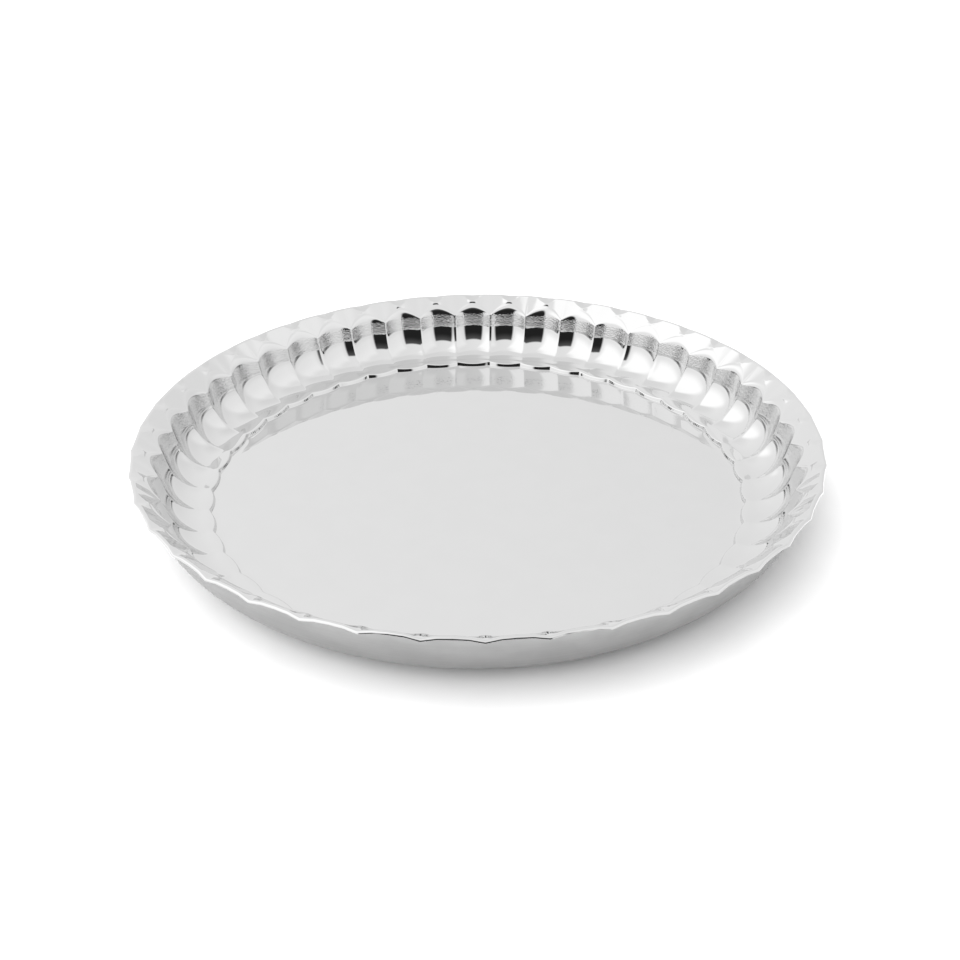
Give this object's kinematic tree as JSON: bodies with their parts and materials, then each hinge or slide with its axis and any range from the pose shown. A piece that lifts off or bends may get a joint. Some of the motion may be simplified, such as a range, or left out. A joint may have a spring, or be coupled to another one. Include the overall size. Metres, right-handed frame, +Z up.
{
  "type": "round serving tray",
  "caption": "Round metal serving tray with a flat polished floor, a wall of hollow flutes, a folded pointed lip and a smooth satin outer shell.",
  "frame": {"origin": "centre of the base, on the surface that the tray stands on", "axes": "+Z up out of the tray along its round axis; -Y is the side that faces the viewer in the picture"},
  "size_m": [0.3504, 0.3504, 0.035],
  "materials": {
    "polished_steel": "mirror-polished stainless steel",
    "satin_steel": "fine satin stainless steel"
  },
  "bodies": {
    "root": {"fluted_pan": "polished_steel", "outer_shell": "satin_steel"}
  },
  "joints": []
}
